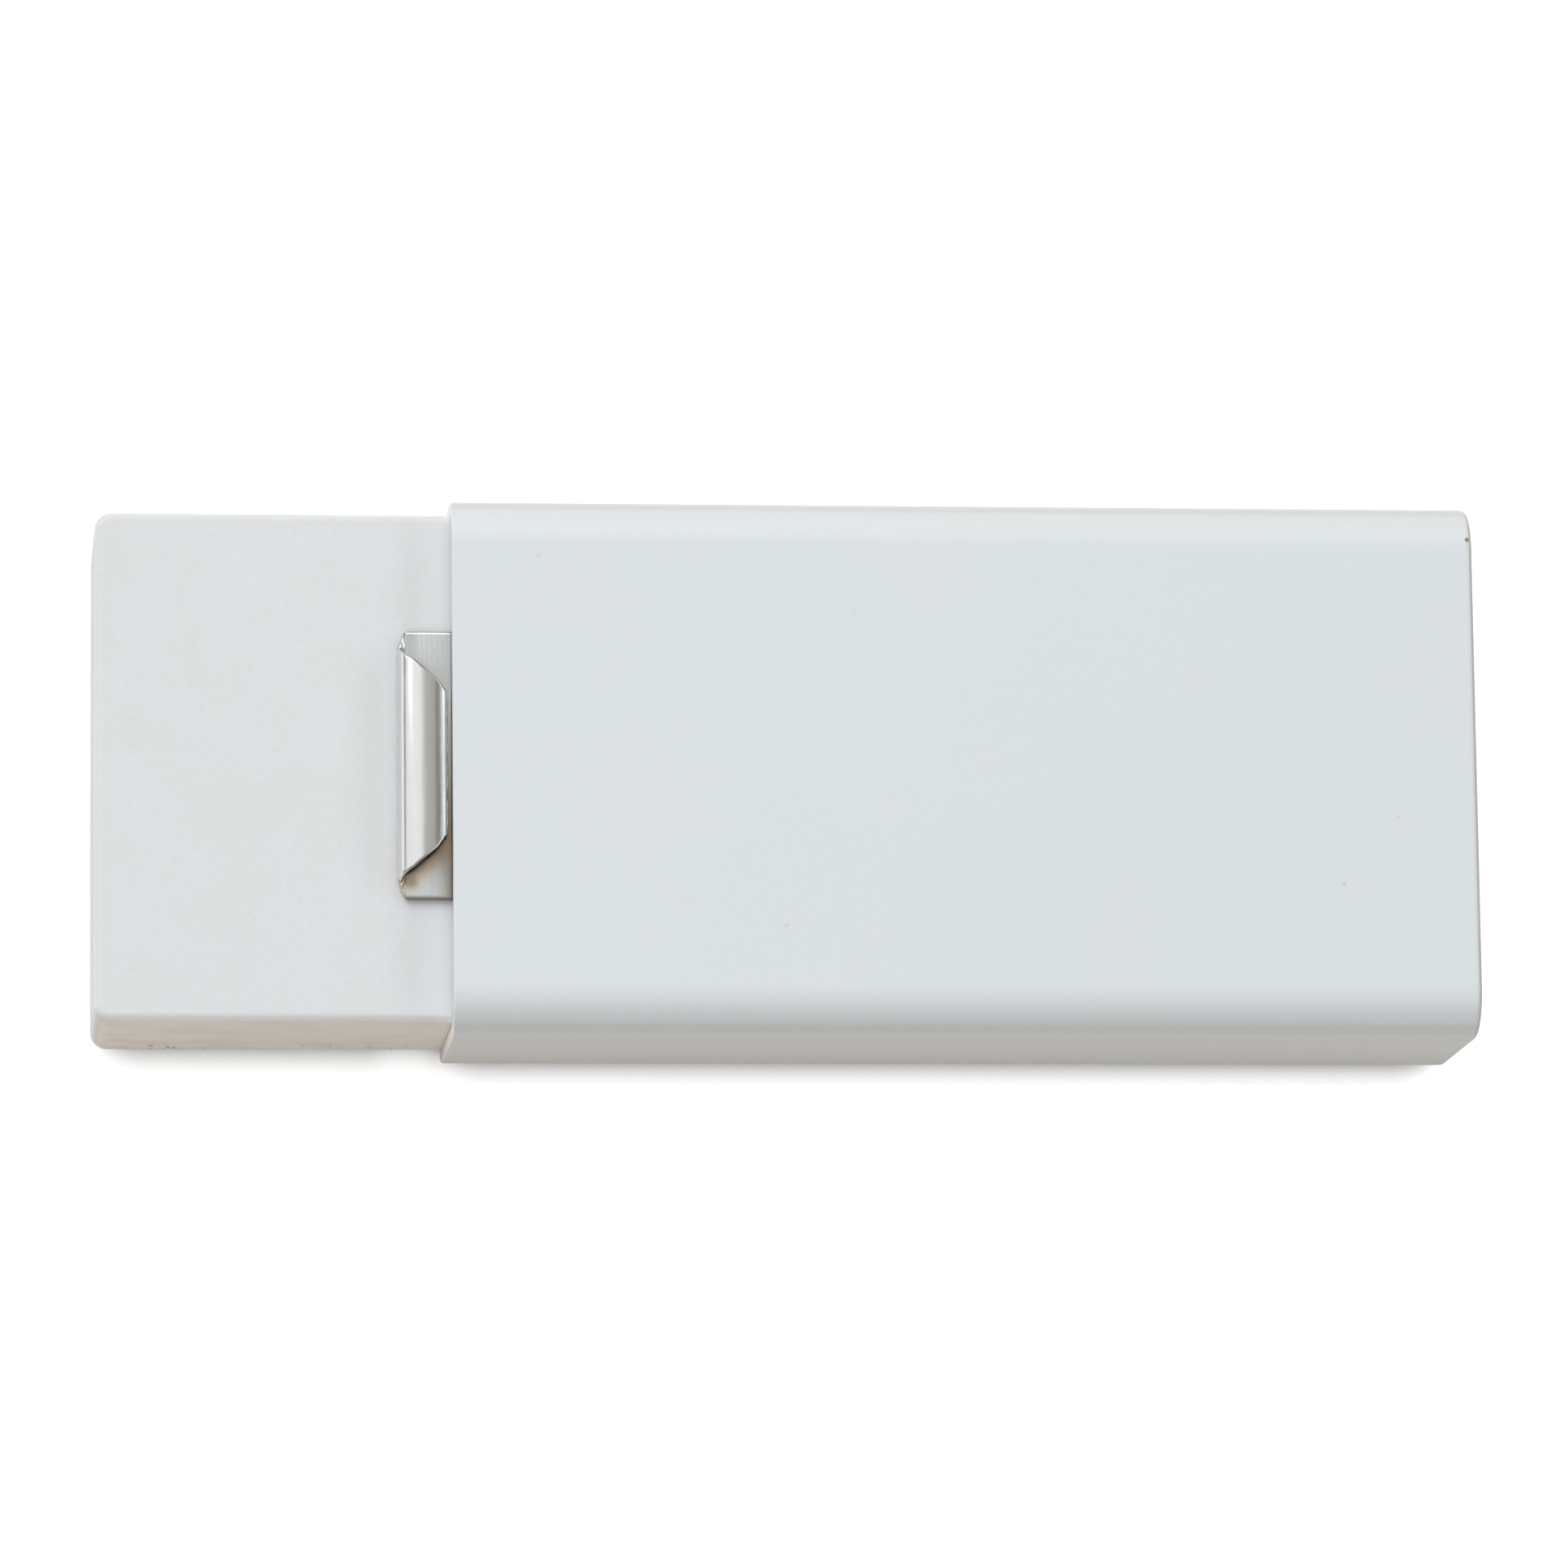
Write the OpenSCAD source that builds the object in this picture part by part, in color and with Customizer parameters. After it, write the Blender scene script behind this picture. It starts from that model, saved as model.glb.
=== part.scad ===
// Handheld block eraser: a closed metal sleeve, a bent strip clip and a block of soft rubber.
// Sizes are in millimetres. X runs from the rubbing tip (-X) to the closed end (+X), Z is up.
// The origin is under the middle of the whole length, on the plane that the sleeve rests on.

/* [Sleeve] */

// Length of the sleeve, mouth to closed end
sleeve_len = 45.6; // [42:0.2:60]
// Width over the sleeve's long sides
sleeve_w = 24; // [20:0.5:32]
// Thickness over the sleeve's two big faces
sleeve_t = 12; // [11:0.5:18]
// Metal thickness of the sleeve's sides
wall = 0.55; // [0.45:0.05:0.8]
// Metal thickness of the closed end
end_wall = 0.6; // [0.5:0.1:1.2]
// Outside radius along the four long corners
corner_r = 2.1; // [1.6:0.1:3]
// Outside radius all round the closed end
end_r = 0.3; // [0.3:0.1:1]
// Rounding of the mouth's outer lip
rim_r = 0.1; // [0.05:0.05:0.4]

/* [Eraser] */

// How far the rubber stands out of the mouth
eraser_out = 15.7; // [10:0.1:24]
// How much of the rubber is inside the sleeve
eraser_in = 34.2; // [28:0.2:37]
// Edge radius round the rubber's two big faces, raised where the sleeve's inside corners need it
eraser_edge = 0.4; // [0.2:0.05:0.6]
// Radius of the rubber's four upright corners
eraser_corner = 0.5; // [0.3:0.05:1.2]

/* [Clip] */

// Width of the bent strip
clip_w = 12; // [9:0.2:16]
// Metal thickness of the strip
clip_t = 0.3; // [0.25:0.05:0.45]
// How far the folded lips stand out of the mouth
lip_out = 2.4; // [2:0.1:4]
// Step from the strip's edge in to the flap at the top of the fold
lip_inset = 1.3; // [0.8:0.1:1.8]
// Angle of the mitred sides of the flap
lip_mitre = 36; // [0:1:40]
// Outside radius of the flap's curve down to the mouth
nose_r = 2.6; // [1.8:0.1:3]
// How far the flap's end turns down towards the mouth
nose_turn = 27; // [15:1:32]

/* [Fits] */

// Sliding clearance between the rubber and the strip on each face
fit_gap = 0.1; // [0.05:0.01:0.15]
// Room for the strip's arms to spring, up to the sleeve's big faces
arm_gap = 0.35; // [0.2:0.05:0.6]
// Sliding clearance between the rubber and the sleeve on each long side
side_gap = 0.1; // [0.1:0.05:0.4]
// Clearance between the lip's nose and the mouth when the clip is home
stop_gap = 0.15; // [0.05:0.01:0.2]
// How far the folded lips stay below the sleeve's big faces
lip_drop = 0.03; // [0.01:0.01:0.08]

/* [Hidden] */

$fn = 64;

// Keeps a computed length on a thousandth of a millimetre, so that joined faces meet
function snap(length) = round(length * 1000) / 1000;

// Overall length, and the stations along X
total_len = eraser_out + sleeve_len;
tip_x = -total_len / 2;
mouth_x = tip_x + eraser_out;
back_x = mouth_x + eraser_in;
mid_z = sleeve_t / 2;

// Inside of the sleeve
bore_w = sleeve_w - 2 * wall;
bore_t = sleeve_t - 2 * wall;
bore_r = corner_r - wall;
bore_len = sleeve_len - end_wall;
bore_end_r = end_r / 2;
mouth_cut = 1;

// Rubber block, tied to the bore, the strip and the clearances
eraser_w = bore_w - 2 * side_gap;
clip_stack = arm_gap + clip_t + fit_gap;
eraser_t = bore_t - 2 * clip_stack;
corner_gap = side_gap / 4;
corner_reach = bore_r - corner_gap;
corner_y = bore_r - side_gap;
corner_z = bore_r - clip_stack;
corner_root = sqrt(2 * (side_gap - corner_gap) * (clip_stack - corner_gap));
corner_need = corner_y + corner_z - corner_reach - corner_root;
eraser_r = max(eraser_edge, snap(corner_need));
corner_step = 0.1;
eraser_corner_r = max(eraser_corner, eraser_r + corner_step);

// Strip: heights are measured from the middle plane, lengths from the middle of the fold
arm_in = eraser_t / 2 + fit_gap;
crest_z = mid_z - lip_drop;
fold_out = (crest_z - arm_in) / 2;
fold_in = fold_out - clip_t;
fold_x = mouth_x - lip_out + fold_out;
fold_z = arm_in + fold_out;
flap_len = lip_out - fold_out;
arm_len = flap_len + eraser_in - eraser_r;
bend_r = eraser_r + fit_gap;
bend_z = eraser_t / 2 - eraser_r;

// Folded lip: a tight fold and a flap that curves down towards the mouth
nose_len = snap(nose_r * sin(nose_turn));
flat_len = flap_len - stop_gap - nose_len;
lip_half = clip_w / 2 - lip_inset;
fold_share = 0.4;
lip_mid_half = lip_half + lip_inset * fold_share;
lip_tip_half = lip_half - flap_len * tan(lip_mitre);

// Edge outline of a slab: depth is outwards, length is along the slab, one radius at each end
module edge_outline(depth, length, start_r, stop_r)
{
  intersection() {
    square([depth, length]);
    union() {
      translate([0, start_r])
        square([depth, length - start_r - stop_r]);
      if (depth > start_r)
        square([depth - start_r, length / 2]);
      if (start_r > 0)
        translate([depth - start_r, start_r])
          circle(r = start_r);
      if (depth > stop_r)
        translate([0, length / 2])
          square([depth - stop_r, length / 2]);
      if (stop_r > 0)
        translate([depth - stop_r, length - stop_r])
          circle(r = stop_r);
    }
  }
}

// One quarter of a rounded bar along X, made of a top slab, a side slab and a corner post
module bar_quarter(length, width, thick, r, start_r, stop_r)
{
  flat_y = width / 2 - r;
  flat_z = thick / 2 - r;
  rotate([-90, -90, 0])
    linear_extrude(flat_y)
      edge_outline(thick / 2, length, start_r, stop_r);
  mirror([0, 1, 0])
    translate([0, -flat_y, 0])
      rotate([0, 0, -90])
        linear_extrude(flat_z)
          edge_outline(r, length, start_r, stop_r);
  translate([0, flat_y, flat_z])
    mirror([0, 0, 1])
      rotate([0, 90, 0])
        rotate_extrude(angle = 90)
          edge_outline(r, length, start_r, stop_r);
}

// Bar along X with rounded long corners and rounded ends, centred on the X axis
module rounded_bar(length, width, thick, r, start_r, stop_r)
{
  for (side = [0, 1], face = [0, 1])
    mirror([0, side, 0])
      mirror([0, 0, face])
        bar_quarter(length, width, thick, r, start_r, stop_r);
}

// Sleeve: one-piece coated metal case, closed at +X
module sleeve()
{
  color([0.86, 0.88, 0.89])
    translate([0, 0, mid_z])
      difference() {
        translate([mouth_x, 0, 0])
          rounded_bar(sleeve_len, sleeve_w, sleeve_t, corner_r, rim_r, end_r);
        translate([mouth_x - mouth_cut, 0, 0])
          rounded_bar(bore_len + mouth_cut, bore_w, bore_t, bore_r, 0, bore_end_r);
      }
}

// Strip bent to an arc about an axis along Y, angles from +X towards +Z
module arc_strip(x, z, inner_r, width, from_a, to_a)
{
  translate([x, 0, z])
    rotate([90, 0, 0])
      rotate([0, 0, from_a])
        rotate_extrude(angle = to_a - from_a)
          translate([inner_r, -width / 2])
            square([clip_t, width]);
}

// Fold of the lip: the strip turned back on itself, narrowing from the arm up to the flap
module lip_fold()
{
  intersection() {
    arc_strip(0, fold_z, fold_in, clip_w, 90, 270);
    translate([-fold_out, 0, 0])
      rotate([90, 0, 90])
        linear_extrude(fold_out)
          polygon([
            [-clip_w / 2, arm_in],
            [clip_w / 2, arm_in],
            [lip_mid_half, fold_z],
            [lip_half, crest_z - clip_t],
            [lip_half, crest_z],
            [-lip_half, crest_z],
            [-lip_half, crest_z - clip_t],
            [-lip_mid_half, fold_z]
          ]);
  }
}

// Flap of the lip: mitred sides and a nose that curves down towards the mouth
module lip_flap()
{
  intersection() {
    union() {
      translate([0, -clip_w / 2, crest_z - clip_t])
        cube([flat_len, clip_w, clip_t]);
      arc_strip(flat_len, crest_z - nose_r, nose_r - clip_t, clip_w, 90 - nose_turn, 90);
    }
    linear_extrude(sleeve_t)
      polygon([
        [0, -lip_half],
        [flap_len, -lip_tip_half],
        [flap_len, lip_tip_half],
        [0, lip_half]
      ]);
  }
}

// One half of the clip, from the middle plane up: lip, arm, bend and half of the web
module clip_half()
{
  lip_fold();
  lip_flap();
  translate([0, -clip_w / 2, arm_in])
    cube([arm_len, clip_w, clip_t]);
  arc_strip(arm_len, bend_z, bend_r, clip_w, 0, 90);
  translate([arm_len + bend_r, -clip_w / 2, 0])
    cube([clip_t, clip_w, bend_z]);
}

// Clip: one strip of polished metal bent round the inner end of the rubber
module clip()
{
  color([0.70, 0.69, 0.67])
    translate([fold_x, 0, mid_z])
      for (face = [0, 1])
        mirror([0, 0, face])
          clip_half();
}

// Eraser: a block of soft rubber with round upright corners and slightly eased edges
module eraser()
{
  color([0.86, 0.87, 0.87])
    translate([(tip_x + back_x) / 2, 0, mid_z - eraser_t / 2])
      rotate([0, -90, 0])
        rounded_bar(eraser_t, eraser_w, back_x - tip_x, eraser_corner_r, eraser_r, eraser_r);
}

sleeve();
clip();
eraser();
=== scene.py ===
import math

import bmesh
import bpy
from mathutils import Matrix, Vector


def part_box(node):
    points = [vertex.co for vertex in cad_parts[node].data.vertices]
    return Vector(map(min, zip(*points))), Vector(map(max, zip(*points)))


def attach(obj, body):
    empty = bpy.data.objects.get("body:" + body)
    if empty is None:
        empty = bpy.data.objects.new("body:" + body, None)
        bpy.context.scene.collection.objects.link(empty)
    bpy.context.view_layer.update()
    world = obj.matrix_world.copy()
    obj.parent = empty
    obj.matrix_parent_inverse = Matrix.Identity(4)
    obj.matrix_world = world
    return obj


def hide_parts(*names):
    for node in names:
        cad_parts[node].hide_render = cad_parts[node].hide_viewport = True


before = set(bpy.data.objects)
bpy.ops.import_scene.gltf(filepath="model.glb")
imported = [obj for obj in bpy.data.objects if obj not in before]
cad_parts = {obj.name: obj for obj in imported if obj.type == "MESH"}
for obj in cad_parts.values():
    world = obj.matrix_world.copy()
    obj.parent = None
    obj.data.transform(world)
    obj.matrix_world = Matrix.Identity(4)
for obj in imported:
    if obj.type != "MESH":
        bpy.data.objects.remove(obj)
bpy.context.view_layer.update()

# Pieces are modelled in millimetres and scaled to metres when they are finished
MM = 0.001
TINY = 1e-4
ALIGNED = 0.999
QUARTER_TURN = math.pi / 2


def box_mm(node):
    """Lowest and highest corner of a CAD node, in millimetres."""
    low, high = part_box(node)
    return low / MM, high / MM


SLEEVE_LOW, SLEEVE_HIGH = box_mm("sleeve")
CLIP_LOW, CLIP_HIGH = box_mm("clip")
ERASER_LOW, ERASER_HIGH = box_mm("eraser")
MOUTH_X = SLEEVE_LOW.x
MID_Z = (SLEEVE_LOW.z + SLEEVE_HIGH.z) / 2

# Sleeve
WALL = 0.55
WALL_SLACK = 0.02
END_WALL = 0.6
CORNER_R = 2.1
END_R = 0.3
RIM_R = 0.1
RIM_INNER_R = 0.06

# Eraser
ERASER_R = 0.4
ERASER_CORNER_R = 0.5
TIP_CORNER_R = 0.75

# Clip, heights from the middle plane
STRIP_T = 0.3
STRIP_HALF = CLIP_HIGH.y
STRIP_EDGE_R = 0.13
STRIP_EDGE_ANGLE = 0.9
FIT = 0.1
ARM_IN = (ERASER_HIGH.z - ERASER_LOW.z) / 2 + FIT
ARM_END_X = ERASER_HIGH.x - ERASER_R
BEND_R = ERASER_R + FIT
BEND_Z = ARM_IN - BEND_R
LIP_X = CLIP_LOW.x
STOP_GAP = 0.15

# Folded lip: a tight turn up, a wider turn over and an arched flap that runs down to the mouth
CREST_X = LIP_X + 1.04
CREST_Z = CLIP_HIGH.z - MID_Z
FOLD_R = 0.78
ARCH_R = 2.6
FLAP_CORNER_R = 0.25
LEFT_LEAN = math.asin((CREST_X - LIP_X - FOLD_R) / (ARCH_R - FOLD_R))
RIGHT_LEAN = math.asin((MOUTH_X - STOP_GAP - CREST_X) / ARCH_R)
TURN_R = CREST_Z - ARM_IN - FOLD_R * math.cos(LEFT_LEAN) - ARCH_R * (1 - math.cos(LEFT_LEAN))
TURN_X = LIP_X + TURN_R
TURN_Z = ARM_IN + TURN_R
ARCH_Z = CREST_Z - ARCH_R
ARCH_ANGLE = LEFT_LEAN + RIGHT_LEAN
FLAP_MID_ANGLE = ARCH_ANGLE * 2 / 3

# Half widths of the narrowing lip
TURN_END_HALF = 5.2
FOLD_END_HALF = 4.66
FLAP_MID_HALF = 3.8
FLAP_END_HALF = 3.15

# Steepest angle that is shaded smooth, in degrees
SMOOTH_ANGLE = 35
STRIP_SMOOTH_ANGLE = 40


# Modelling helpers

def start_block(name, low, high):
    """A cube with these corners, left open in edit mode."""
    bpy.ops.object.select_all(action="DESELECT")
    bpy.ops.mesh.primitive_cube_add(size=1, location=(low + high) / 2)
    piece = bpy.context.object
    piece.name = name
    piece.data.name = name
    piece.scale = high - low
    bpy.ops.object.transform_apply(location=True, rotation=True, scale=True)
    bpy.ops.object.mode_set(mode="EDIT")
    return piece


def pick(piece, kind, test):
    """Selects the vertices, edges or faces of the open piece that pass the test."""
    bpy.ops.mesh.select_mode(type=kind)
    bpy.ops.mesh.select_all(action="DESELECT")
    mesh = bmesh.from_edit_mesh(piece.data)
    items = {"VERT": mesh.verts, "EDGE": mesh.edges, "FACE": mesh.faces}[kind]
    for item in items:
        if test(item):
            item.select_set(True)
    mesh.select_flush_mode()
    bmesh.update_edit_mesh(piece.data)


def runs_along(edge, axis):
    a, b = (v.co for v in edge.verts)
    return abs((b - a).normalized()[axis]) > ALIGNED


def lies_at(item, axis, value):
    return all(abs(v.co[axis] - value) < TINY for v in item.verts)


def round_picked(radius, steps):
    bpy.ops.mesh.bevel(offset=radius, segments=steps, affect="EDGES", clamp_overlap=False)


def pull_picked(shift):
    bpy.ops.mesh.extrude_region_move(TRANSFORM_OT_translate={"value": shift})


def turn_picked(centre_x, centre_z, angle, steps):
    """Sweeps the picked faces round an axis along Y."""
    bpy.ops.mesh.spin(
        steps=steps,
        angle=-angle,
        center=(centre_x, 0, centre_z),
        axis=(0, 1, 0),
        use_auto_merge=False,
    )


def use_modifier(piece, kind, **settings):
    bpy.ops.object.modifier_add(type=kind)
    modifier = piece.modifiers[-1]
    for key, value in settings.items():
        setattr(modifier, key, value)
    bpy.ops.object.modifier_apply(modifier=modifier.name)


def close_piece(piece):
    """Cleans the mesh, leaves edit mode and brings the piece to metres."""
    bpy.ops.mesh.select_all(action="SELECT")
    bpy.ops.mesh.remove_doubles(threshold=TINY)
    bpy.ops.mesh.normals_make_consistent(inside=False)
    bpy.ops.object.mode_set(mode="OBJECT")
    piece.scale = (MM, MM, MM)
    bpy.ops.object.transform_apply(location=True, rotation=True, scale=True)


def smooth_piece(piece, angle):
    bpy.ops.object.shade_smooth_by_angle(angle=math.radians(angle))
    use_modifier(piece, "WEIGHTED_NORMAL", keep_sharp=True)


# Sleeve: a block with rounded long corners, hollowed from the mouth

def depth_in_section(point):
    """How far a point lies inside the sleeve's outer section."""
    over_y = abs(point.y) - (SLEEVE_HIGH.y - CORNER_R)
    over_z = abs(point.z - MID_Z) - (MID_Z - CORNER_R)
    outside = math.hypot(max(over_y, 0), max(over_z, 0))
    return CORNER_R - outside - min(max(over_y, over_z), 0)


def is_inner_rim(edge):
    return lies_at(edge, 0, MOUTH_X) and all(
        abs(depth_in_section(v.co) - WALL) < WALL_SLACK for v in edge.verts
    )


def make_sleeve():
    piece = start_block("Sleeve_case", SLEEVE_LOW, SLEEVE_HIGH)
    pick(piece, "EDGE", lambda e: runs_along(e, 0))
    round_picked(CORNER_R, steps=16)
    pick(piece, "EDGE", lambda e: lies_at(e, 0, SLEEVE_HIGH.x))
    round_picked(END_R, steps=7)
    pick(piece, "EDGE", lambda e: lies_at(e, 0, MOUTH_X))
    round_picked(RIM_R, steps=6)
    pick(piece, "FACE", lambda f: lies_at(f, 0, MOUTH_X))
    bpy.ops.mesh.inset(thickness=WALL - RIM_R, use_even_offset=True)
    pull_picked((SLEEVE_HIGH.x - END_WALL - MOUTH_X, 0, 0))
    pick(piece, "EDGE", is_inner_rim)
    round_picked(RIM_INNER_R, steps=3)
    close_piece(piece)
    smooth_piece(piece, SMOOTH_ANGLE)
    return piece


# Eraser: a block with round upright corners, worn rounder at the tip, and slightly eased edges

def make_eraser():
    piece = start_block("Eraser_block", ERASER_LOW, ERASER_HIGH)
    for end_x, radius in ((ERASER_LOW.x, TIP_CORNER_R), (ERASER_HIGH.x, ERASER_CORNER_R)):
        pick(piece, "EDGE", lambda e: runs_along(e, 2) and lies_at(e, 0, end_x))
        round_picked(radius, steps=10)
    pick(
        piece,
        "EDGE",
        lambda e: lies_at(e, 2, ERASER_LOW.z) or lies_at(e, 2, ERASER_HIGH.z),
    )
    round_picked(ERASER_R, steps=6)
    close_piece(piece)
    smooth_piece(piece, SMOOTH_ANGLE)
    return piece


# Clip: one half of the strip is swept from the arm, then mirrored about the middle plane

def narrow_picked(share):
    bpy.ops.transform.resize(value=(1, share, 1), center_override=(0, 0, 0))


def sweep_lip(centre_x, centre_z, angle, steps, start_half, end_half):
    """Turns the picked end of the strip step by step and narrows it evenly on the way."""
    half = start_half
    for step in range(1, steps + 1):
        turn_picked(centre_x, centre_z, angle / steps, steps=1)
        next_half = start_half + (end_half - start_half) * step / steps
        narrow_picked(next_half / half)
        half = next_half


def is_flap_corner(edge):
    return all(v.co.x > CREST_X for v in edge.verts) and any(
        lies_at(edge, 1, side * FLAP_END_HALF) for side in (-1, 1)
    )


def make_clip():
    piece = start_block(
        "Clip_strip",
        Vector((TURN_X, -STRIP_HALF, ARM_IN)),
        Vector((ARM_END_X, STRIP_HALF, ARM_IN + STRIP_T)),
    )
    # Inner end: bend and half of the web, left open where the other half joins it
    pick(piece, "FACE", lambda f: lies_at(f, 0, ARM_END_X))
    turn_picked(ARM_END_X, BEND_Z, QUARTER_TURN, steps=12)
    pull_picked((0, 0, -BEND_Z))
    bpy.ops.mesh.delete(type="ONLY_FACE")
    # Mouth end: the strip narrows through the fold and along the flap
    pick(piece, "FACE", lambda f: lies_at(f, 0, TURN_X))
    sweep_lip(TURN_X, TURN_Z, QUARTER_TURN, 14, STRIP_HALF, TURN_END_HALF)
    sweep_lip(LIP_X + FOLD_R, TURN_Z, QUARTER_TURN - LEFT_LEAN, 22, TURN_END_HALF, FOLD_END_HALF)
    sweep_lip(CREST_X, ARCH_Z, FLAP_MID_ANGLE, 16, FOLD_END_HALF, FLAP_MID_HALF)
    sweep_lip(CREST_X, ARCH_Z, ARCH_ANGLE - FLAP_MID_ANGLE, 8, FLAP_MID_HALF, FLAP_END_HALF)
    pick(piece, "EDGE", is_flap_corner)
    round_picked(FLAP_CORNER_R, steps=6)
    close_piece(piece)
    use_modifier(
        piece, "MIRROR", use_axis=(False, False, True), use_clip=True, merge_threshold=TINY * MM
    )
    use_modifier(
        piece,
        "BEVEL",
        width=STRIP_EDGE_R * MM,
        segments=4,
        limit_method="ANGLE",
        angle_limit=STRIP_EDGE_ANGLE,
        use_clamp_overlap=False,
    )
    piece.location.z = MID_Z * MM
    bpy.ops.object.transform_apply(location=True, rotation=True, scale=True)
    smooth_piece(piece, STRIP_SMOOTH_ANGLE)
    return piece


sleeve = make_sleeve()
eraser = make_eraser()
clip = make_clip()

for piece, node, slot in (
    (sleeve, "sleeve", "coated_metal"),
    (clip, "clip", "polished_metal"),
    (eraser, "eraser", "soft_rubber"),
):
    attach(piece, node)
    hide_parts(node)


# Shader helpers

def add_node(tree, kind, options=None, values=None, links=None):
    """Adds a node, sets its options and socket values and links sockets to it."""
    node = tree.nodes.new(kind)
    for key, value in (options or {}).items():
        setattr(node, key, value)
    for key, value in (values or {}).items():
        node.inputs[key].default_value = value
    for key, socket in (links or {}).items():
        tree.links.new(socket, node.inputs[key])
    return node


def new_group(name, inputs, outputs):
    """An empty node group; returns its tree, its input sockets and a function that links outputs."""
    tree = bpy.data.node_groups.new(name, "ShaderNodeTree")
    for key, kind in inputs.items():
        tree.interface.new_socket(key, in_out="INPUT", socket_type="NodeSocket" + kind)
    for key, kind in outputs.items():
        tree.interface.new_socket(key, in_out="OUTPUT", socket_type="NodeSocket" + kind)
    start = tree.nodes.new("NodeGroupInput")
    end = tree.nodes.new("NodeGroupOutput")

    def link_output(key, socket):
        tree.links.new(socket, end.inputs[key])

    return tree, start.outputs, link_output


def add_group(tree, group, place, values):
    """Adds a shared effect at a place and returns its outputs."""
    return add_node(tree, "ShaderNodeGroup", {"node_tree": group}, values, {"Place": place}).outputs


def add_math(tree, operation, first, second=0, clamp=False):
    """A math node; each side is a socket or a number."""
    node = add_node(tree, "ShaderNodeMath", {"operation": operation, "use_clamp": clamp})
    for place, side in enumerate((first, second)):
        if isinstance(side, (int, float)):
            node.inputs[place].default_value = side
        else:
            tree.links.new(side, node.inputs[place])
    return node.outputs[0]


def add_product(tree, first, *others):
    """Multiplies sockets and numbers."""
    for other in others:
        first = add_math(tree, "MULTIPLY", first, other)
    return first


def add_distance(tree, value, centre):
    """How far a value is from a number, on either side of it."""
    return add_math(tree, "ABSOLUTE", add_math(tree, "SUBTRACT", value, centre))


def add_range(tree, value, span, to_low=0, to_high=1):
    """Maps a value smoothly from a span to another, held at both ends."""
    low, high = span
    node = add_node(
        tree,
        "ShaderNodeMapRange",
        {"interpolation_type": "SMOOTHSTEP"},
        {"From Min": low, "From Max": high, "To Min": to_low, "To Max": to_high},
        {"Value": value},
    )
    return node.outputs["Result"]


def add_mix(tree, share, first, second):
    """Mixes two colours; each is a socket or a colour, the share is a socket."""
    node = add_node(tree, "ShaderNodeMix", {"data_type": "RGBA"})
    tree.links.new(share, node.inputs[0])
    for place, side in ((6, first), (7, second)):
        if isinstance(side, tuple):
            node.inputs[place].default_value = (*side, 1)
        else:
            tree.links.new(side, node.inputs[place])
    return node.outputs[2]


def add_noise(tree, place, scale, detail):
    node = add_node(
        tree, "ShaderNodeTexNoise", None, {"Scale": scale, "Detail": detail}, {"Vector": place}
    )
    return node.outputs["Fac"]


def add_stretch(tree, place, scale):
    node = add_node(tree, "ShaderNodeMapping", None, {"Scale": scale}, {"Vector": place})
    return node.outputs[0]


def split_axes(tree, vector):
    return add_node(tree, "ShaderNodeSeparateXYZ", None, None, {0: vector}).outputs


def add_turn(tree):
    """The surface's direction, split into x, y and z."""
    return split_axes(tree, add_node(tree, "ShaderNodeNewGeometry").outputs["Normal"])


def add_openness(tree, samples, reach):
    """How open a place is: 1 in the open and less in corners and gaps."""
    node = add_node(
        tree, "ShaderNodeAmbientOcclusion", {"samples": samples}, {"Distance": reach * MM}
    )
    return node.outputs["AO"]


def new_material(name):
    """A material, its tree, its shader and the place on the piece in millimetres."""
    material = bpy.data.materials.new(name)
    material.use_nodes = True
    tree = material.node_tree
    shader = tree.nodes["Principled BSDF"]
    place = add_node(tree, "ShaderNodeTexCoord").outputs["Object"]
    in_mm = add_node(
        tree, "ShaderNodeVectorMath", {"operation": "SCALE"}, {"Scale": 1 / MM}, {0: place}
    )
    return material, tree, shader, in_mm.outputs[0]


# Shared effects

GRAIN_DEPTH = 0.02 * MM
GRAIN_MIDDLE = (0.3, 0.7)
EDGE_BREAKS = (0.3, 0.65)
SPOT_FADE = (0.5, 1.0)


def make_grain_group():
    """Fine grain of a surface: a value and a normal."""
    tree, start, link_output = new_group(
        "Surface_grain",
        {"Place": "Vector", "Scale": "Float", "Height": "Float"},
        {"Grain": "Float", "Normal": "Vector"},
    )
    noise = add_node(
        tree,
        "ShaderNodeTexNoise",
        None,
        {"Detail": 4, "Roughness": 0.6},
        {"Vector": start["Place"], "Scale": start["Scale"]},
    )
    bump = add_node(
        tree,
        "ShaderNodeBump",
        None,
        {"Distance": GRAIN_DEPTH},
        {"Strength": start["Height"], "Height": noise.outputs["Fac"]},
    )
    link_output("Grain", noise.outputs["Fac"])
    link_output("Normal", bump.outputs["Normal"])
    return tree


def make_edge_group():
    """Mask of convex and concave edges, broken up by noise."""
    tree, start, link_output = new_group(
        "Edge_wear", {"Place": "Vector", "Radius": "Float", "Gain": "Float"}, {"Edge": "Float"}
    )
    rounded = add_node(tree, "ShaderNodeBevel", {"samples": 6}, None, {"Radius": start["Radius"]})
    flat = add_node(tree, "ShaderNodeNewGeometry").outputs["Normal"]
    facing = add_node(
        tree,
        "ShaderNodeVectorMath",
        {"operation": "DOT_PRODUCT"},
        None,
        {0: rounded.outputs["Normal"], 1: flat},
    )
    turned = add_math(tree, "SUBTRACT", 1.0, facing.outputs["Value"], clamp=True)
    raised = add_math(tree, "MULTIPLY", turned, start["Gain"], clamp=True)
    broken = add_range(tree, add_noise(tree, start["Place"], 1.7, 3), EDGE_BREAKS)
    link_output("Edge", add_product(tree, raised, broken))
    return tree


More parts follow.
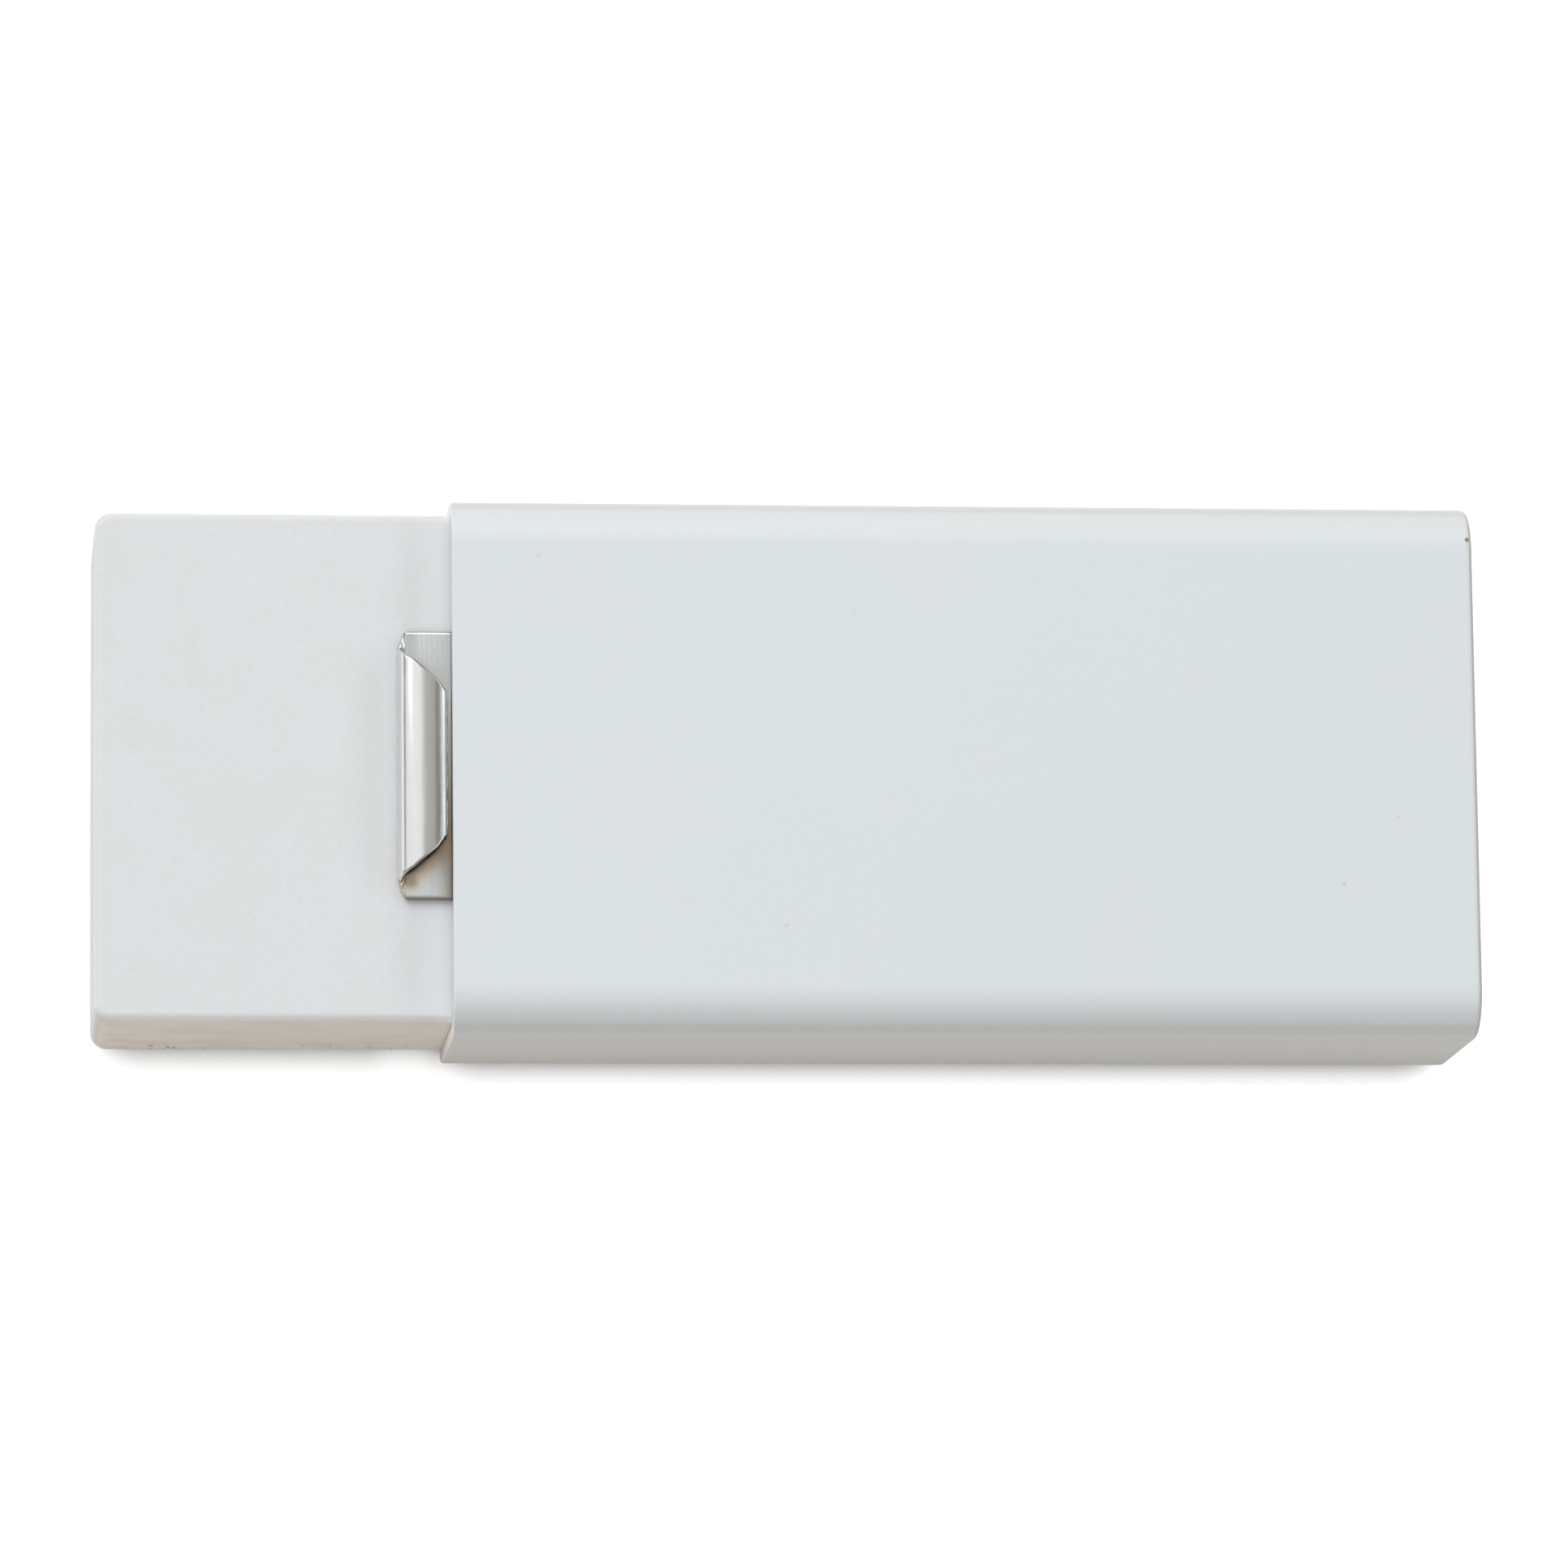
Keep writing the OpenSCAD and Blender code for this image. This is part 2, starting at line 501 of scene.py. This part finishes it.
def make_speck_group():
    """Mask of a few small specks scattered over a surface."""
    tree, start, link_output = new_group(
        "Scattered_specks",
        {"Place": "Vector", "Scale": "Float", "Size": "Float", "Share": "Float"},
        {"Specks": "Float"},
    )
    cells = add_node(
        tree,
        "ShaderNodeTexVoronoi",
        None,
        None,
        {"Vector": start["Place"], "Scale": start["Scale"]},
    )
    colour = add_node(tree, "ShaderNodeSeparateColor", None, None, {0: cells.outputs["Color"]})
    chosen = add_math(tree, "LESS_THAN", colour.outputs[0], start["Share"])
    size = add_product(tree, colour.outputs[1], start["Size"])
    inside = add_math(tree, "LESS_THAN", cells.outputs["Distance"], size)
    link_output("Specks", add_product(tree, chosen, inside))
    return tree


def make_spot_group():
    """Mask of one soft, ragged spot at a given place."""
    tree, start, link_output = new_group(
        "Single_spot", {"Place": "Vector", "Centre": "Vector", "Radius": "Float"}, {"Spot": "Float"}
    )
    apart = add_node(
        tree,
        "ShaderNodeVectorMath",
        {"operation": "DISTANCE"},
        None,
        {0: start["Place"], 1: start["Centre"]},
    )
    swing = add_math(tree, "ADD", add_noise(tree, start["Place"], 9, 2), 0.5)
    ragged = add_product(tree, apart.outputs["Value"], swing)
    share = add_math(tree, "DIVIDE", ragged, start["Radius"])
    link_output("Spot", add_range(tree, share, SPOT_FADE, 1, 0))
    return tree


GRAIN = make_grain_group()
EDGE = make_edge_group()
SPECKS = make_speck_group()
SPOT = make_spot_group()


# White coat: colours, marks (place, radius, depth) and the spans where the colours change

COAT_COOL = (0.700, 0.747, 0.778)
COAT_WARM = (0.712, 0.749, 0.773)
COAT_GRAIN = (0.62, 0.65, 0.67)
COAT_WEAR_AND_SHADE = (0.46, 0.42, 0.38)
COAT_PAINTED_LOW_SHADE = (0.49, 0.43, 0.35)
COAT_CUT_PAINTED_LIGHT = (0.95, 0.97, 0.96)
COAT_CUT_PAINTED_SHADE = (0.66, 0.62, 0.58)
COAT_PAINTED_HIGHLIGHT = (0.79, 0.83, 0.84)
COAT_PAINTED_DIP_SHADE = (0.61, 0.64, 0.62)
DARK_MARK = (0.16, 0.15, 0.14)
COAT_MARKS = (
    ((30.43, 10.3, 11.97), 0.15, 0.9),
    ((24.55, -5.3, 12.0), 0.13, 0.2),
    ((27.04, -2.29, 12.0), 0.1, 0.2),
    ((-0.29, -7.23, 12.0), 0.14, 0.12),
    ((-11.13, 9.27, 12.0), 0.13, 0.12),
)
SPECK_DEPTH = 0.1
COAT_GRAIN_SPAN = (0.2, 0.8)
LONG_SIDE_Y = (11.3, 11.6)
HIGHLIGHT_LINE_Z = 4.4
HIGHLIGHT_LINE_REACH = (0.1, 0.45)
SHADE_DIP_Z = 5.15
SHADE_DIP_REACH = (0.05, 0.5)
SIDE_SHADE_Z = (1.0, 7.0)
END_TURN_START = (0.3, 0.75)
END_TURN_STOP = (0.93, 0.99)
CUT_FACE_X = (MOUTH_X + 0.02, MOUTH_X + 0.1)
CUT_FACE_Z = (10.4, 11.6)
CUT_TONE_Z = (1, 8)


def make_white_coat():
    material, tree, shader, place = new_material("White_coat")
    axes = split_axes(tree, place)
    grain = add_group(tree, GRAIN, place, {"Scale": 6.0, "Height": 0.35})
    edge = add_group(tree, EDGE, place, {"Radius": 0.4 * MM, "Gain": 2.0})
    specks = add_group(tree, SPECKS, place, {"Scale": 0.35, "Size": 0.07, "Share": 0.05})
    # An even white with faint clouds, grain, specks and single marks
    colour = add_mix(tree, add_noise(tree, place, 0.12, 3), COAT_COOL, COAT_WARM)
    toned = add_mix(tree, add_range(tree, grain["Grain"], COAT_GRAIN_SPAN, 0, 0.12), colour, COAT_GRAIN)
    marked = add_mix(tree, add_product(tree, specks["Specks"], SPECK_DEPTH), toned, DARK_MARK)
    for centre, radius, depth in COAT_MARKS:
        spot = add_group(tree, SPOT, place, {"Centre": centre, "Radius": radius})
        marked = add_mix(tree, add_product(tree, spot["Spot"], depth), marked, DARK_MARK)
    # Long sides: a painted highlight line and a painted dip of shade along the rounded long corners,
    # and painted shade that darkens the sides lower down
    height = add_distance(tree, axes["Z"], MID_Z)
    at_side = add_range(tree, add_math(tree, "ABSOLUTE", axes["Y"]), LONG_SIDE_Y)
    from_highlight_line = add_distance(tree, height, HIGHLIGHT_LINE_Z)
    line = add_product(tree, add_range(tree, from_highlight_line, HIGHLIGHT_LINE_REACH, 0.5, 0), at_side)
    highlight_lined = add_mix(tree, line, marked, COAT_PAINTED_HIGHLIGHT)
    from_shade_dip = add_distance(tree, height, SHADE_DIP_Z)
    dip = add_product(tree, add_range(tree, from_shade_dip, SHADE_DIP_REACH, 0.5, 0), at_side)
    shade_dipped = add_mix(tree, dip, highlight_lined, COAT_PAINTED_DIP_SHADE)
    # Painted shade: the long sides are painted darker and warmer towards the bottom
    low_shade = add_product(tree, add_range(tree, axes["Z"], SIDE_SHADE_Z, 0.3, 0), at_side)
    low_shaded = add_mix(tree, low_shade, shade_dipped, COAT_PAINTED_LOW_SHADE)
    # Wear along the edges, and painted shade round the closed end where its rounding turns away
    worn = add_mix(tree, add_product(tree, edge["Edge"], 0.25), low_shaded, COAT_WEAR_AND_SHADE)
    to_end = add_turn(tree)["X"]
    turned = add_product(
        tree, add_range(tree, to_end, END_TURN_START), add_range(tree, to_end, END_TURN_STOP, 1, 0)
    )
    browned = add_mix(tree, add_product(tree, turned, 0.8), worn, COAT_WEAR_AND_SHADE)
    # Cut face at the mouth: painted light makes it lighter, and painted shade darkens it lower down
    at_rim = add_range(tree, axes["X"], CUT_FACE_X, 1, 0)
    beside = add_product(tree, at_rim, add_range(tree, axes["Z"], CUT_FACE_Z, 1, 0))
    cut = add_mix(tree, add_range(tree, axes["Z"], CUT_TONE_Z), COAT_CUT_PAINTED_SHADE, COAT_CUT_PAINTED_LIGHT)
    rimmed = add_mix(tree, beside, browned, cut)
    tree.links.new(rimmed, shader.inputs["Base Color"])
    satin = add_range(tree, grain["Grain"], GRAIN_MIDDLE, 0.40, 0.50)
    matt = add_range(tree, at_side, (0, 1), 0, 0.12)
    tree.links.new(add_math(tree, "ADD", satin, matt), shader.inputs["Roughness"])
    tree.links.new(grain["Normal"], shader.inputs["Normal"])
    return material


# Polished strip: colours, and the spans where the painted shade and the painted reflection tint lie

STRIP_LIGHT = (0.69, 0.695, 0.69)
STRIP_DARK = (0.64, 0.64, 0.63)
STRIP_ARM_REFLECTION_TONE = (0.58, 0.62, 0.62)
STRIP_REFLECTION_TINT = (0.68, 0.645, 0.61)
STRIP_SHADOW_TINT = (0.60, 0.50, 0.37)
STRIP_PAINTED_SHADE = (0.20, 0.16, 0.12)
STRIP_WEAR_AND_HIGHLIGHT = (0.86, 0.86, 0.85)
ARM_TOP_Z = MID_Z + ARM_IN + STRIP_T
ARM_FACE_Z = (ARM_TOP_Z + 0.05, ARM_TOP_Z + 0.2)
NEAR_TO_FAR_Y = (-3.5, 4.5)
FOLD_FRONT_X = (LIP_X + 0.15, LIP_X + 0.35)
FOLD_CORNER_X = (LIP_X + 0.6, LIP_X + 1.15)
FOLD_CORNER_Y = (-5.7, -5.2)
TUCKED_SHADE_SPAN = (0.5, 0.92)
NEAR_ARM_Y = (-3.2, -3.0)
FLAP_EDGE_X = LIP_X + 0.3
FLAP_EDGE_SLOPE = 1.05
SHADOW_TINT_FROM_FLAP = (-6.5, -5.5)
SHADE_FROM_FLAP = (-5.7, -5.25)
SHADE_FADE_X = (LIP_X + 0.4, LIP_X + 2.2)
NEAR_EDGE_SHADE_Y = (0.12 - STRIP_HALF, 0.25 - STRIP_HALF)
REFLECTION_TINT_START_X = (CREST_X + 0.25, CREST_X + 0.6)
REFLECTION_TINT_STOP_X = (CREST_X + 0.8, CREST_X + 0.95)


def make_polished_strip():
    material, tree, shader, place = new_material("Polished_strip")
    axes = split_axes(tree, place)
    edge = add_group(tree, EDGE, place, {"Radius": 0.12 * MM, "Gain": 1.5})
    stretched = add_stretch(tree, place, (9.0, 0.35, 9.0))
    brushed = add_group(tree, GRAIN, stretched, {"Scale": 1.0, "Height": 0.12})
    # Bright metal with painted reflections: lighter on the fold's front, a warm tint just past the
    # crest and a bluer grey on the arm
    colour = add_mix(tree, add_noise(tree, place, 1.1, 3), STRIP_LIGHT, STRIP_DARK)
    fold_front_light = add_range(tree, axes["X"], FOLD_FRONT_X, 0.6, 0)
    fold_lightened = add_mix(tree, fold_front_light, colour, STRIP_WEAR_AND_HIGHLIGHT)
    # Painted reflection: a warm tint on the flap just past the crest
    browned = add_product(
        tree,
        add_range(tree, axes["X"], REFLECTION_TINT_START_X),
        add_range(tree, axes["X"], REFLECTION_TINT_STOP_X, 1, 0),
    )
    reflection_tinted = add_mix(tree, browned, fold_lightened, STRIP_REFLECTION_TINT)
    # Painted reflection: the flat arm gets a bluer grey of its own
    on_arm = add_range(tree, axes["Z"], ARM_FACE_Z, 1, 0)
    bright = add_mix(tree, on_arm, reflection_tinted, STRIP_ARM_REFLECTION_TONE)
    # Painted shadow: a brown tint on the arm beside the flap's near edge, where the flap's shadow and
    # dark reflection fall
    along_flap = add_product(tree, add_math(tree, "SUBTRACT", axes["X"], FLAP_EDGE_X), FLAP_EDGE_SLOPE)
    from_flap = add_math(tree, "SUBTRACT", axes["Y"], along_flap)
    near_arm = add_product(tree, on_arm, add_range(tree, axes["Y"], NEAR_ARM_Y, 1, 0))
    shadow_tint = add_product(tree, add_range(tree, from_flap, SHADOW_TINT_FROM_FLAP, 0, 0.75), near_arm)
    tinted = add_mix(tree, shadow_tint, bright, STRIP_SHADOW_TINT)
    # Painted shade beside the flap, in the fold's corner, along the near edge and in tight places,
    # stronger on the near side
    fading = add_range(tree, axes["X"], SHADE_FADE_X, 0.9, 0.6)
    shade_by_flap = add_product(tree, add_range(tree, from_flap, SHADE_FROM_FLAP), fading, near_arm)
    near_edge_shade = add_range(tree, axes["Y"], NEAR_EDGE_SHADE_Y, 0.65, 0)
    beside_fold = add_range(tree, axes["X"], FOLD_CORNER_X, 0.8, 0)
    corner = add_product(tree, beside_fold, on_arm, add_range(tree, axes["Y"], FOLD_CORNER_Y, 0.1, 1))
    tucked_shade = add_range(tree, add_openness(tree, 8, 1.8), TUCKED_SHADE_SPAN, 1, 0)
    painted_shade = tucked_shade
    for patch in (shade_by_flap, near_edge_shade, corner):
        painted_shade = add_math(tree, "MAXIMUM", painted_shade, patch)
    behind_fold = add_range(tree, axes["X"], FOLD_FRONT_X, 0.05, 1)
    near = add_range(tree, axes["Y"], NEAR_TO_FAR_Y, 1, 0.35)
    shaded_over = add_mix(tree, add_product(tree, painted_shade, behind_fold, near), tinted, STRIP_PAINTED_SHADE)
    # Wear along the edges, partly a painted highlight
    worn = add_mix(tree, edge["Edge"], shaded_over, STRIP_WEAR_AND_HIGHLIGHT)
    tree.links.new(worn, shader.inputs["Base Color"])
    shader.inputs["Metallic"].default_value = 1
    rough = add_range(tree, brushed["Grain"], GRAIN_MIDDLE, 0.17, 0.24)
    tree.links.new(rough, shader.inputs["Roughness"])
    tree.links.new(brushed["Normal"], shader.inputs["Normal"])
    return material


# Soft rubber: colours, and the spans where the stains and the crumbs lie

RUBBER_COOL = (0.720, 0.752, 0.778)
RUBBER_WARM = (0.710, 0.738, 0.748)
RUBBER_SIDE_PAINTED_LIGHT = (0.88, 0.88, 0.86)
RUBBER_END_PAINTED_LIGHT = (0.80, 0.87, 0.92)
RUBBER_PAINTED_LIGHT_BY_MOUTH = (0.76, 0.79, 0.81)
RUBBER_YELLOWED = (0.70, 0.70, 0.62)
RUBBER_RUBBED = (0.50, 0.42, 0.32)
RUBBER_CRUMB = (0.16, 0.13, 0.10)
CLOUD_SPAN = (0.3, 0.7)
MOTTLE_SPAN = (0.35, 0.7)
STREAK_SPAN = (0.4, 0.7)
HEAP_SPAN = (0.4, 0.58)
RUBBER_SIDE_Y = (ERASER_HIGH.y - 0.2, ERASER_HIGH.y - 0.02)
TIP_FACE_TURN = (-0.97, -0.75)
TOP_FACE_TURN = (0.8, 0.98)
BY_MOUTH_X = (MOUTH_X - 2.2, MOUTH_X - 0.2)
HANDLED_Z = (1.0, 9.0)
HANDLED_TIP_X = (ERASER_LOW.x + 1, ERASER_LOW.x + 7)
BARE_X = (MOUTH_X - 0.2, MOUTH_X + 2.5)
CRUMB_Z = (2.0, 4.4)
CRUMB_X = (MOUTH_X - 0.4, MOUTH_X + 0.4)
CRUMB_Y = (-2, 2)


def make_soft_rubber():
    material, tree, shader, place = new_material("Soft_rubber")
    axes = split_axes(tree, place)
    turn = add_turn(tree)
    grain = add_group(tree, GRAIN, place, {"Scale": 4.0, "Height": 0.6})
    edge = add_group(tree, EDGE, place, {"Radius": 1.4 * MM, "Gain": 4.0})
    # Off-white with soft clouds and fine mottling; painted light on the top by the mouth, where the
    # rim's shadow falls, and on the long sides
    cloud = add_range(tree, add_noise(tree, place, 0.35, 4), CLOUD_SPAN)
    colour = add_mix(tree, cloud, RUBBER_COOL, RUBBER_WARM)
    upright = add_stretch(tree, place, (1, 1, 0.2))
    mottle = add_range(tree, add_noise(tree, upright, 5.0, 2), MOTTLE_SPAN, 0, 0.06)
    mottled = add_mix(tree, mottle, colour, RUBBER_RUBBED)
    by_mouth = add_range(tree, axes["X"], BY_MOUTH_X)
    mouth_light = add_product(tree, by_mouth, add_range(tree, turn["Z"], TOP_FACE_TURN))
    lifted = add_mix(tree, mouth_light, mottled, RUBBER_PAINTED_LIGHT_BY_MOUTH)
    # Painted light: the long sides are painted lighter than the top
    at_side = add_range(tree, add_math(tree, "ABSOLUTE", axes["Y"]), RUBBER_SIDE_Y)
    sided = add_mix(tree, at_side, lifted, RUBBER_SIDE_PAINTED_LIGHT)
    # Yellowed edges, and stains along the exposed sides
    toned = add_mix(tree, add_product(tree, edge["Edge"], 0.6), sided, RUBBER_YELLOWED)
    low = add_range(tree, axes["Z"], HANDLED_Z, 1, 0.35)
    tip = add_range(tree, axes["X"], HANDLED_TIP_X, 1, 0.45)
    bare = add_range(tree, axes["X"], BARE_X, 1, 0.2)
    streaked = add_stretch(tree, place, (0.3, 1.5, 0.45))
    streaks = add_range(tree, add_noise(tree, streaked, 1.0, 3), STREAK_SPAN)
    on_side = add_product(tree, low, tip, bare, streaks, at_side)
    tinted = add_mix(tree, add_product(tree, on_side, 0.55), toned, RUBBER_RUBBED)
    # Dark crumbs near the lower edge, outside the mouth and mostly on the near side
    drawn_up = add_stretch(tree, place, (1, 1, 0.4))
    crumbs = add_group(tree, SPECKS, drawn_up, {"Scale": 5.0, "Size": 0.7, "Share": 0.35})
    settled = add_product(
        tree,
        add_range(tree, axes["Z"], CRUMB_Z, 1, 0),
        add_range(tree, add_noise(tree, place, 0.22, 2), HEAP_SPAN),
        add_range(tree, axes["X"], CRUMB_X, 1, 0),
        add_range(tree, axes["Y"], CRUMB_Y, 1, 0.4),
    )
    crumbed = add_product(tree, crumbs["Specks"], settled, 0.7)
    dirty = add_mix(tree, crumbed, tinted, RUBBER_CRUMB)
    # Painted light: the tip's end face is painted a lighter, cooler white
    at_end = add_range(tree, turn["X"], TIP_FACE_TURN, 1, 0)
    end_lit = add_mix(tree, at_end, dirty, RUBBER_END_PAINTED_LIGHT)
    tree.links.new(end_lit, shader.inputs["Base Color"])
    rough = add_range(tree, grain["Grain"], GRAIN_MIDDLE, 0.62, 0.78)
    tree.links.new(rough, shader.inputs["Roughness"])
    tree.links.new(grain["Normal"], shader.inputs["Normal"])
    return material


# White floor: colours, and the spans that set where its shadow shows

FLOOR_BOUNCE = (0.63, 0.51, 0.37)
FLOOR_SEEN = (0.5, 0.5, 0.5)
FLOOR_LIFT = (0.78, 0.78, 0.78)
FLOOR_OPEN_SPAN = (0.31, 0.72)
DEEPER_SHADOW_X = (MOUTH_X - 3.4, MOUTH_X - 0.8)
LIT_TIP_X = (ERASER_LOW.x - 0.1, ERASER_LOW.x + 0.5)


def make_white_floor():
    """White to the eye with the shadow kept; in the light that it sends back it is a warm white."""
    material, tree, shader, place = new_material("White_floor")
    axes = split_axes(tree, place)
    shader.inputs["Base Color"].default_value = (*FLOOR_BOUNCE, 1)
    shader.inputs["Roughness"].default_value = 0.9
    seen = add_node(tree, "ShaderNodeBsdfDiffuse", None, {"Color": (*FLOOR_SEEN, 1)})
    deeper = add_range(tree, axes["X"], DEEPER_SHADOW_X, 0.13, 0)
    lit = add_range(tree, axes["X"], LIT_TIP_X, 0.6, 0)
    lighter = add_math(tree, "ADD", add_openness(tree, 12, 2.4), lit)
    open_share = add_range(tree, add_math(tree, "SUBTRACT", lighter, deeper), FLOOR_OPEN_SPAN)
    lift = add_node(
        tree, "ShaderNodeEmission", None, {"Color": (*FLOOR_LIFT, 1)}, {"Strength": open_share}
    )
    bright = add_node(tree, "ShaderNodeAddShader", None, None, {0: seen.outputs[0], 1: lift.outputs[0]})
    path = add_node(tree, "ShaderNodeLightPath").outputs
    mirrored = add_math(tree, "MAXIMUM", path["Is Glossy Ray"], path["Is Transmission Ray"])
    choice = add_node(
        tree,
        "ShaderNodeMixShader",
        None,
        None,
        {
            0: add_math(tree, "MAXIMUM", path["Is Camera Ray"], mirrored),
            1: shader.outputs[0],
            2: bright.outputs[0],
        },
    )
    tree.links.new(choice.outputs[0], tree.nodes["Material Output"].inputs["Surface"])
    return material


sleeve.data.materials.append(make_white_coat())
clip.data.materials.append(make_polished_strip())
eraser.data.materials.append(make_soft_rubber())


# Floor, light and camera

FLOOR_SIZE = 3
PLAIN_WHITE = (1.0, 1.0, 1.0)
WARM_WHITE = (1.0, 0.97, 0.95)
WARM_FILL = (1.0, 0.91, 0.84)
COOL_WHITE = (0.90, 1.0, 0.98)
SURROUNDINGS = (0.28, 0.28, 0.28)

bpy.ops.object.select_all(action="DESELECT")
bpy.ops.mesh.primitive_plane_add(size=FLOOR_SIZE)
floor = bpy.context.object
floor.name = "Floor"
floor.data.materials.append(make_white_floor())


def soft_light(name, place, tilt, size, power, colour):
    """A rectangular area light; it looks straight down and is then tilted by X and Y degrees."""
    data = bpy.data.lights.new(name, "AREA")
    data.shape = "RECTANGLE"
    data.size, data.size_y = size
    data.energy = power
    data.color = colour
    light = bpy.data.objects.new(name, data)
    light.location = place
    light.rotation_euler = (math.radians(tilt[0]), math.radians(tilt[1]), 0)
    bpy.context.scene.collection.objects.link(light)


# Name, place in metres, tilt in degrees, size in metres, power in watts and colour
soft_light("Left_panel", (-0.477, 0.2, 0.879), (0, -28.5), (1.32, 2.4), 8.4, PLAIN_WHITE)
soft_light("Low_left_panel", (-0.989, 0.2, 0.148), (0, -81.5), (0.23, 2.4), 1.6, PLAIN_WHITE)
soft_light("Top_fill", (0.301, 0.2, 0.954), (0, 17.5), (0.44, 2.4), 1.0, WARM_FILL)
soft_light("Right_softbox", (0.876, 0.3, 0.483), (0, 61), (0.27, 1.8), 2.9, COOL_WHITE)
soft_light("Back_softbox", (-0.3, 0.72, 0.67), (-47, 0), (0.9, 1.05), 4.5, WARM_WHITE)

world = bpy.context.scene.world or bpy.data.worlds.new("World")
bpy.context.scene.world = world
world.use_nodes = True
background = world.node_tree.nodes["Background"]
background.inputs["Color"].default_value = (*SURROUNDINGS, 1)
background.inputs["Strength"].default_value = 1.0

camera_data = bpy.data.cameras.new("Camera")
camera_data.sensor_width = 36
camera_data.lens = 204.72
camera_data.clip_start = 0.01
camera = bpy.data.objects.new("Camera", camera_data)
camera.location = (-0.038077, -0.066082, 0.397932)
camera.rotation_euler = (math.radians(9.60115), math.radians(-5.47655), math.radians(-0.6454))
bpy.context.scene.collection.objects.link(camera)
bpy.context.scene.camera = camera

bpy.context.scene.view_settings.view_transform = "Standard"
